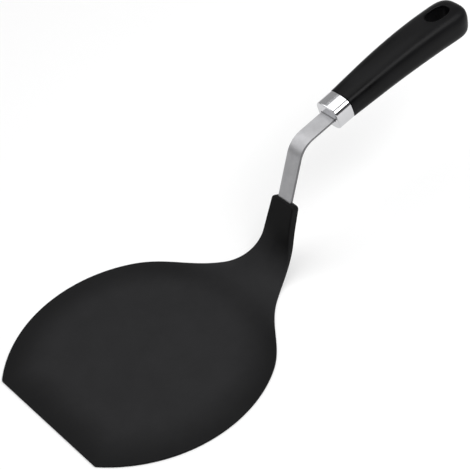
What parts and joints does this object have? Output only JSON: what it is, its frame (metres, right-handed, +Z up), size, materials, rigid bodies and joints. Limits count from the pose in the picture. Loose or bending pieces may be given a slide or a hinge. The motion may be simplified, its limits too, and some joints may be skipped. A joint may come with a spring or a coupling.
{
  "type": "crepe spatula",
  "caption": "Crepe spatula with a wide round nylon blade cut straight in front, a cranked steel shank, a polished ferrule and a soft black handle with a hanging hole",
  "frame": {"origin": "centre of the blade's round outline, on the plane of its flat underside", "axes": "+X along the tool from the blade towards the handle, +Y to the left side of the blade seen from behind the handle with the blade flat, +Z up, away from the surface that the blade rests on"},
  "size_m": [0.3516, 0.17, 0.1051],
  "materials": {
    "nylon": "fine matte, moulded black nylon",
    "brushed_strip": "satin stainless strip, brushed along its length",
    "polished_steel": "mirror polished stainless",
    "core_plastic": "moulded black polypropylene",
    "soft_grip": "soft black rubber, satin"
  },
  "bodies": {
    "root": {"blade": "nylon", "shank": "brushed_strip", "ferrule": "polished_steel", "core_upper": "core_plastic", "core_lower": "core_plastic", "grip_sleeve": "soft_grip"}
  },
  "joints": []
}
